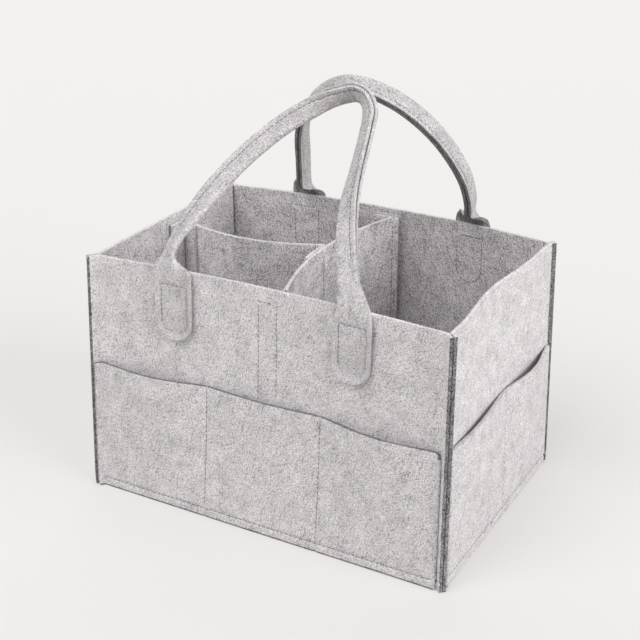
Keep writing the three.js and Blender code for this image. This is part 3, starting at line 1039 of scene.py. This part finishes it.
front_route = [
    (-86, 1), (-91, 11), (-90, 23), (-85, 41), (-79, 60), (-62, 98), (-36, 136),
    (-8, 163), (8, 172), (18, 175), (28, 171), (36, 159), (39, 143), (41, 127),
    (43.5, 104), (46, 84), (52, 61), (59, 42), (67, 24), (75, 8), (79, 1),
]
back_route = [
    (-83, 1), (-85, 12), (-89.5, 32), (-88.5, 68), (-70.5, 115), (-40, 146),
    (-2, 155.5), (35, 134), (57.5, 94), (70, 51), (80, 15), (83, 1),
]
FRONT_TWIST = [
    (0, 45), (0.22, 100), (0.38, 105), (0.50, 158),
    (0.535, 158), (0.61, 130), (0.68, 128), (0.92, 90),
]
BACK_TWIST = [(0, 0), (0.6, 0), (0.85, 10)]
front_strap = Strap(
    front,
    hinges["front_handle_swing"],
    math.radians(43.26),
    front_route,
    FRONT_TWIST,
    stand=FELT,
    tongue_x=(-HANDLE_REACH, HANDLE_REACH - 3 * MM),
    roots=[(8 * MM, 13 * MM, False), (16 * MM, 22 * MM, True)],
    skew=(-0.3, -0.3),
    spring=1.0,
)
back_strap = Strap(
    back,
    hinges["back_handle_swing"],
    math.radians(31.5),
    back_route,
    BACK_TWIST,
    stand=(FELT + FOLD_DEPTH) / 2,
    tongue_x=(-HANDLE_REACH, HANDLE_REACH),
    roots=[(11 * MM, 20 * MM, False), (11 * MM, 20 * MM, False)],
    skew=(0.1, 0.35),
    spring=1.9,
)
print(f"loops: {front_strap.length * 1000:.0f} and {back_strap.length * 1000:.0f} mm along the fold")


# %% The two handles
BLEND_START = RIM + 2 * MM


def handle(strap, face, edge, lining):
    name = strap.wall.name
    points, pressed = strap.rows()
    piece = cloth(f"{name}_handle_strip", points, face, edge, lining=lining, pressed=pressed)
    nodes = [f"{name}_handle", f"{name}_left_tongue", f"{name}_right_tongue"]
    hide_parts(*nodes)
    tongue = strap.hinge_z - TONGUE_BOTTOM
    strap.length + 2 * tongue
    start = strap.wall.put(0, -strap.hinge_reach, BLEND_START)
    lean = strap.wall.put(*strap.up) - strap.wall.put(0, 0, 0)
    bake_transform(piece)
    return np.array(points)


front_points = handle(front_strap, handle_felt, handle_felt, handle_felt)
back_points = handle(back_strap, shaded_back_handle_felt, shaded_fold_felt, shaded_fold_felt)
print("handle rows:", len(front_points), len(back_points))

# %% [markdown]
# ## Divider insert
# Two upright sheets make the insert. The cross divider runs from wall to wall in a soft bow, and the long
# divider runs from the left wall to it and turns into a tab that is sewn on. Both are drawn in plan as a
# line, which is then raised, because felt this stiff curves only one way.

# %% Plan lines of the dividers
cross_low, cross_high = (Vector(corner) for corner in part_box("cross_divider"))
long_low = Vector(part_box("long_divider")[0])
END_SLACK = 0.5 * MM
CROSS_X = MIDDLE.x + 16 * MM
CROSS_BOW = 19.4 * MM
LONG_Y_AT_WALL = MIDDLE.y + 20 * MM
LONG_Y_AT_CROSS = MIDDLE.y + 9 * MM
LONG_BOW = 18 * MM
TAB = 34 * MM
TAB_TURN = 5 * MM
TAB_RADIUS = 3.5 * MM
TAB_PITCH = 2 * MM
TURN_INSET = 4 * MM
PLAN_PITCH = 6 * MM
LONG_TOP_AT_WALL = RIM - 8 * MM
LONG_TOP_AT_CROSS = RIM - 1 * MM
CROSS_SHORT = 8.5 * MM
CROSS_DROP = 1.7 * MM
cross_front, cross_back = cross_low.y + END_SLACK, cross_high.y - END_SLACK
FOOT = SEAM_TOP + GAP


def cross_x(y):
    share = 2 * (y - cross_front) / (cross_back - cross_front) - 1
    return CROSS_X - CROSS_BOW * (1 - share**2)


long_left = long_low.x + END_SLACK
long_right = cross_x(LONG_Y_AT_CROSS) - FELT - GAP


def long_y(x):
    share = (x - long_left) / (long_right - long_left)
    return mix(LONG_Y_AT_WALL, LONG_Y_AT_CROSS, share) - LONG_BOW * 4 * share * (1 - share)


def rounded(corners, radius, pitch):
    """A plan line through corners, each bent round with about that radius, in steps of a pitch or less."""
    line = [corners[0]]
    for before, corner, after in zip(corners, corners[1:], corners[2:]):
        into, out = (corner - before), (after - corner)
        turn = abs(into.angle_signed(out, 0.0))
        reach = min(radius * math.tan(turn / 2), 0.45 * into.length, 0.45 * out.length)
        first, last = corner - into.normalized() * reach, corner + out.normalized() * reach
        count = max(1, math.ceil(turn / math.radians(14)))
        for k in range(count + 1):
            share = k / count
            line.append(first.lerp(corner, share).lerp(corner.lerp(last, share), share))
    line.append(corners[-1])
    dense = [line[0]]
    for first, second in zip(line, line[1:]):
        count = max(1, math.ceil((second - first).length / pitch))
        dense += [first.lerp(second, k / count) for k in range(1, count + 1)]
    return [place for k, place in enumerate(dense) if k == 0 or (place - dense[k - 1]).length > 0.05 * MM]


cross_plan = [Vector((cross_x(y), y)) for y in spaced(cross_front, cross_back - CROSS_SHORT, PLAN_PITCH)]
long_plan = [Vector((x, long_y(x))) for x in spaced(long_left, long_right - TURN_INSET, PLAN_PITCH)]
tab_ys = [LONG_Y_AT_CROSS - TAB_TURN - (TAB - TAB_TURN) * k / 6 for k in range(7)]
tab_plan = [Vector((cross_x(y) - FELT - GAP, y)) for y in tab_ys]
turn_corner = Vector((cross_x(LONG_Y_AT_CROSS) - FELT - GAP, LONG_Y_AT_CROSS))
tab_turn = rounded([long_plan[-1], turn_corner, tab_plan[0]], TAB_RADIUS, TAB_PITCH)
long_plan = [*long_plan, *tab_turn[1:], *tab_plan[1:]]
print("plan points:", len(cross_plan), "across and", len(long_plan), "along")


# %% Dividers
def upright(name, plan, felt, top_of, low, ends=None):
    """A sheet raised on a plan line from low up to top_of(place)."""

    def place(point, share):
        z = mix(low, top_of(point), share)
        return (point.x, point.y, z)

    height = RIM - low
    levels = [level / height for level in spaced(0, height, 10 * MM)]
    points = [[place(point, share) for point in plan] for share in levels]
    return cloth(name, points, felt, rim_felt, ends=ends)


def plan_length(plan):
    return sum((after - before).length for before, after in zip(plan, plan[1:]))


def long_top(point):
    share = min(1.0, (point.x - long_left) / (long_right - long_left))
    return mix(LONG_TOP_AT_WALL, LONG_TOP_AT_CROSS, share)


def cross_top(point):
    return RIM - CROSS_DROP * (point.y - cross_front) / (cross_back - cross_front)


# The cross divider's cut ends are painted dark as painted shade.
cross = upright("cross_sheet", cross_plan, shaded_cross_felt, cross_top, FOOT, ends=shaded_edge_felt)
long = upright("long_sheet", long_plan, lit_long_felt, long_top, FOOT)
for piece, node, plan in ((cross, "cross_divider", cross_plan), (long, "long_divider", long_plan)):
    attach(piece, "insert")
    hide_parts(node)
    plan_length(plan)
print(f"dividers: {plan_length(cross_plan) * 1000:.0f} and {plan_length(long_plan) * 1000:.0f} mm long")

# %% [markdown]
# ## Flaps
# At the insert's three ends a short strip is sewn to the divider and turned along the wall, where its hook
# tape holds on the loop tape. One sheet follows the turn. The cross divider stops short of the back wall, so
# the strip there comes out in line with it before it turns.

# %% Flaps and their hook tapes
LEG = 18 * MM
FLAP_TURN = 2.6 * MM
BESIDE = FELT + 0.25 * MM
IN_LINE = 2.5 * MM
LEG_CLEAR = 4 * MM
FLAP_PITCH = 2.5 * MM
PEEL_FROM, PEEL_TO = 1 * MM, 6 * MM
PEEL_SLANT = 0.6
HOOK_COLUMN = 3 * MM
HOOK_ROW = 5 * MM


def flap(name, tip, into_box, divider, short=0.0):
    """divider is its plan line from the wall inwards, tip is the flap's free end, and into_box leads off the
    wall. Where the divider stops short of the wall, the strip comes out in line with it."""
    low, high = (corner[2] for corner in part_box(f"{name}_flap"))
    towards = (tip - divider[0]).normalized()
    beside = []
    for before, point in zip(divider, divider[1:]):
        way = (point - before).normalized()
        normal = Vector((-way.y, way.x))
        normal = normal if normal.dot(towards) > 0 else -normal
        beside.append(point + normal * BESIDE)
    depth = [(point - tip).dot(into_box) for point in beside]
    corner = next(point for point, deep in zip(beside, depth) if deep > 0)
    corner = corner - into_box * (corner - tip).dot(into_box)
    if short:
        corner -= IN_LINE * towards
    leg = [point for point, deep in zip(beside, depth) if max(LEG_CLEAR, short) < deep < LEG]
    plan = rounded([tip, corner, leg[0]], FLAP_TURN, FLAP_PITCH) + leg[1:]
    piece = upright(f"{name}_flap_strip", plan, lit_long_felt, lambda point: high, low)
    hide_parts(f"{name}_flap")
    plan_length(plan)
    away = ((tip - corner).normalized() - PEEL_SLANT * into_box).normalized()
    start = corner + PEEL_FROM * away
    end = corner + PEEL_TO * away
    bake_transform(piece)
    return piece


def hook_strip(wall):
    name = wall.name
    low, high = (Vector(corner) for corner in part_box(f"{name}_hook_tape"))
    centre = (low + high) / 2
    half = max(high.x - low.x, high.y - low.y) / 2
    along = Vector((math.cos(wall.turn), math.sin(wall.turn), 0))
    columns = spaced(-half, half, HOOK_COLUMN)
    rows = spaced(low.z, high.z, HOOK_ROW)
    points = [[Vector((centre.x, centre.y, z)) + along * x for x in columns] for z in rows]
    piece = cloth(f"{name}_hook_strip", points, hook_tape, hook_tape, thick=TAPE)
    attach(piece, f"{name}_flap_body")
    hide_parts(f"{name}_hook_tape")


flap_boxes = {wall.name: [Vector(corner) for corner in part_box(f"{wall.name}_flap")] for wall in taped}
front_low, front_high = flap_boxes["front"]
back_low, back_high = flap_boxes["back"]
left_low, left_high = flap_boxes["left"]
fine_cross = [Vector((cross_x(y), y)) for y in np.linspace(cross_front, cross_back, 160)]
fine_long = [Vector((x, long_y(x))) for x in np.linspace(long_left, long_right, 120)]
front_tip = Vector((front_low.x, (front_low.y + front_high.y) / 2))
back_tip = Vector((back_low.x, (back_low.y + back_high.y) / 2))
left_tip = Vector(((left_low.x + left_high.x) / 2, left_low.y))
flaps = [
    flap("front", front_tip, Vector((0, 1)), fine_cross),
    flap("back", back_tip, Vector((0, -1)), fine_cross[::-1], CROSS_SHORT),
    flap("left", left_tip, Vector((1, 0)), fine_long),
]
for wall in taped:
    hook_strip(wall)
print("flaps:", [piece.name for piece in flaps])

# %% [markdown]
# ## Seams
# Thread shows along the bottom, up the corners' ridges, between the pockets, round the tongues, along the
# handles' cut edges and where the insert is joined; between the pockets, round the tongues and on the handles
# it shows on both faces. The rows follow the same formulas as the sheets they hold, so they sit in the
# grooves that the sheets already have.


# %% Thread on the box
SUNK = FELT * STITCH_DENT / 2
LINE_START = 4 * MM
LIP_END = 1 * MM
RIDGE_SEAM = 2.4 * MM
RIDGE_END = 3 * MM


def upright_places(s, low, high):
    return [(s, z) for z in np.linspace(low, high, 40)]


def level_places(z, reach):
    return [(s, z) for s in np.linspace(-reach, reach, 160)]


def on_pocket(wall, places):
    """A run on the outside of the pocket strip, a little sunk into it."""
    run = []
    for s, z in places:
        out = pocket_out(wall, s, z) + FELT - SUNK
        run.append((wall.along(wall.cut_place(s, z), out, z), wall.outward(s, z)))
    return run


def on_wall(wall, places, inside=False):
    out = -FELT + SUNK if inside else -SUNK
    return wall.seam_run([(wall.cut_place(s, z), z) for s, z in places], out, -1 if inside else 1)


def wall_thread(wall):
    reach = wall.straight(0)
    runs = [on_pocket(wall, level_places(BOTTOM_STITCH, reach))]
    for line in POCKET_LINES[wall.name]:
        places = upright_places(line, BOTTOM_STITCH + LINE_START, POCKET_TOP - LIP_END)
        runs += [on_pocket(wall, places), on_wall(wall, places, inside=True)]
    tape_seams = tape_lines(wall)
    for line in tape_seams:
        runs.append(on_wall(wall, upright_places(line, POCKET_TOP + LINE_START, TAPE_SEAM_TOP)))
    if tape_seams:
        across = [wall.cut_place(s, TAPE_SEAM_TOP) for s in np.linspace(tape_seams[0], tape_seams[1], 20)]
        runs.append(wall.seam_run([(s, TAPE_SEAM_TOP) for s in across], 0, 1))
    ridge = reach + BEND_LENGTH + RIDGE_SEAM
    for s in (-ridge, ridge):
        runs.append(on_wall(wall, upright_places(s, RIDGE_END, RIM - RIDGE_END)))
    return sew(f"{wall.name}_wall_thread", runs, "caddy")


print("wall thread faces:", [len(wall_thread(wall).data.polygons) for wall in walls])


# %% Thread on the handles
CREASE_HOLES = TONGUE_CREASE + 1.3 * MM
PROUD = 0.2 * MM
PALE_PROUD = 0.4 * MM
SEAM_START = 6


def tongue_outline():
    """The seam round a tongue, as (u, z)."""
    centre = TONGUE_BOTTOM + STRIP / 2
    sides = [(SEW_LINE, z) for z in np.linspace(TONGUE_CREASE, centre, 12)]
    turns = [math.pi * k / 16 for k in range(1, 16)]
    tip = [(SEW_LINE * math.cos(a), centre - SEW_LINE * math.sin(a)) for a in turns]
    return [*sides, *tip, *[(-u, z) for u, z in reversed(sides)]]


def crease_row(z):
    return [(u, z) for u in np.linspace(-SEW_LINE, SEW_LINE, 12)]


def tongue_thread(strap):
    def run(side, places, out, facing=1):
        on_tongue = [(strap.tongue_x[side] - side * u, z) for u, z in places]
        return strap.wall.seam_run(on_tongue, out, facing)

    outside, inside, below = [], [], []
    across, above = crease_row(TONGUE_CREASE), crease_row(CREASE_HOLES)
    for side in (-1, 1):
        outside += [run(side, row, GAP + FELT - SUNK) for row in (tongue_outline(), across)]
        inside += [run(side, tongue_outline(), -FELT, -1), run(side, above, -FELT - PROUD, -1)]
        below.append(run(side, across, -FELT - PALE_PROUD, -1))
    sew(f"{strap.wall.name}_tongue_lower_thread", inside, "caddy")
    sew(f"{strap.wall.name}_tongue_pale_thread", below, "caddy", pale_thread)
    return sew(f"{strap.wall.name}_tongue_thread", outside, "caddy")


def loop_thread(strap, points):
    normal = normals_of(points)
    tongue = len(strap.tongue_rows(1)[0]) + ROOT_ROWS
    kept = range(tongue + SEAM_START, len(points) - tongue - SEAM_START)
    runs = []
    for u in (-SEW_LINE, SEW_LINE):
        column = min(range(len(ACROSS)), key=lambda k: abs(ACROSS[k] - u))
        lift = FELT / 2 * (1 - STITCH_DENT)
        runs.append([(points[k, column] + normal[k, column] * lift, normal[k, column]) for k in kept])
    return sew(f"{strap.wall.name}_handle_thread", runs, f"{strap.wall.name}_handle_body")


for strap, points in ((front_strap, front_points), (back_strap, back_points)):
    print(tongue_thread(strap).name, loop_thread(strap, points).name)


# %% Thread on the insert
FRONT_SEAM = 8 * MM
BACK_SEAM = 11 * MM
TAB_SEAM = 10 * MM
FOOT_END = 6 * MM
TOP_END = 2 * MM


def divider_run(y, low, high):
    """An upright run on the right face of the cross divider at y."""
    slope = (cross_x(y + MM) - cross_x(y - MM)) / (2 * MM)
    outward = Vector((1, -slope, 0)).normalized()
    middle = Vector((cross_x(y), y, 0))
    return [(middle + outward * (FELT / 2) + Vector((0, 0, z)), outward) for z in np.linspace(low, high, 40)]


sewn_at = [front_tip.y + FRONT_SEAM, back_tip.y - BACK_SEAM]
insert_runs = [divider_run(y, front_low.z + TOP_END, front_high.z - TOP_END) for y in sewn_at]
insert_runs.append(divider_run(LONG_Y_AT_CROSS - TAB_SEAM, FOOT + FOOT_END, LONG_TOP_AT_CROSS - TOP_END))
insert_thread = sew("insert_thread", insert_runs, "insert")
print("insert thread faces:", len(insert_thread.data.polygons))

# %% [markdown]
# ## Floor, light and camera
# The photograph was taken on a pale sweep under a big soft light from the right and another above the
# front, with the room's light filling in. Three wide far lamps and an even sky give that. A wide floor
# gives the pale ground and the faint shadow. Part of its colour is a glow for the eye, for gloss and for
# glass alone, so the ground stays pale in its shadow while the felt sees a duller floor that doesn't bleach
# it. The camera stands where the corners of the box line up with the photograph.

# %% Floor and light
FLOOR_SIZE = 8.0
FLOOR_DROP = 0.2 * MM
SKY = 0.32
SEEN_SKY = 0.95
SKY_COLOUR = (1.0, 0.99, 0.99, 1)
SEEN_FLOOR = (0.41, 0.402, 0.395)
FLOOR_GLOW = (0.41, 0.40, 0.392)
BOUNCE_FLOOR = (0.58, 0.57, 0.56)
NO_GLOW = (0, 0, 0)
LAMPS = {
    "key": (Vector((0.95, -0.05, 0.32)), 2.25, 45),
    "top": (Vector((-0.25, -0.58, 0.77)), 1.75, 45),
    "fill": (Vector((-0.42, 0.70, 0.58)), 0.7, 60),
}


def seen_by(wire):
    """1 for rays that show the ground itself, to the eye, in a gloss or through glass, and 0 for the rest."""
    names = ("Is Camera Ray", "Is Glossy Ray", "Is Transmission Ray")
    camera_ray, glossy_ray, clear_ray = (wire.node("ShaderNodeLightPath", output=name) for name in names)
    return wire.math("MINIMUM", camera_ray + glossy_ray + clear_ray, 1)


def pale_floor():
    mesh = bmesh.new()
    bmesh.ops.create_grid(mesh, x_segments=8, y_segments=8, size=FLOOR_SIZE / 2)
    finish, shader, wire = new_finish("pale_floor", 0.9)
    seen = seen_by(wire)
    colour = colour_between(wire, BOUNCE_FLOOR, SEEN_FLOOR, seen)
    glow = colour_between(wire, NO_GLOW, FLOOR_GLOW, seen)
    wire.tree.links.new(colour.socket, shader.inputs["Base Color"])
    wire.tree.links.new(glow.socket, shader.inputs["Emission Color"])
    shader.inputs["Emission Strength"].default_value = 1.0
    piece = add_object("floor", mesh, [finish])
    piece.location.z = -FLOOR_DROP


def even_sky():
    world = bpy.data.worlds.new("even_sky")
    bpy.context.scene.world = world
    world.use_nodes = True
    background = world.node_tree.nodes["Background"]
    wire = Wire(world.node_tree)
    seen = seen_by(wire)
    strength = SKY + (SEEN_SKY - SKY) * seen
    world.node_tree.links.new(strength.socket, background.inputs["Strength"])
    background.inputs["Color"].default_value = SKY_COLOUR


def far_lamp(name, way, strength, degrees):
    """A big far lamp that stands along way and is degrees wide."""
    lamp = bpy.data.lights.new(name, "SUN")
    lamp.angle = math.radians(degrees)
    lamp.energy = strength
    holder = bpy.data.objects.new(name, lamp)
    bpy.context.collection.objects.link(holder)
    holder.location = 2 * way
    holder.rotation_euler = way.to_track_quat("Z", "Y").to_euler()


pale_floor()
even_sky()
for name, (way, strength, degrees) in LAMPS.items():
    far_lamp(name, way, strength, degrees)
bpy.context.scene.view_settings.view_transform = "Standard"
print("floor, sky and", len(LAMPS), "lamps")

# %% Camera
CAMERA_PLACE = Vector((480.5, -875.7, 605.0)) * MM
CAMERA_TARGET = Vector((-5.9, 0, 148.3)) * MM
FOCAL_PIXELS = 1275
IMAGE_PIXELS = 640
SENSOR = 36

to_middle = Vector((MIDDLE.x, MIDDLE.y, 0))
lens = bpy.data.cameras.new("camera")
lens.sensor_width = SENSOR
lens.lens = SENSOR * FOCAL_PIXELS / IMAGE_PIXELS
camera = bpy.data.objects.new("camera", lens)
bpy.context.collection.objects.link(camera)
camera.location = CAMERA_PLACE + to_middle
camera.rotation_euler = (CAMERA_PLACE - CAMERA_TARGET).to_track_quat("Z", "Y").to_euler()
bpy.context.scene.camera = camera
print(f"camera {lens.lens:.1f} mm, {(CAMERA_PLACE - CAMERA_TARGET).length:.2f} m away")
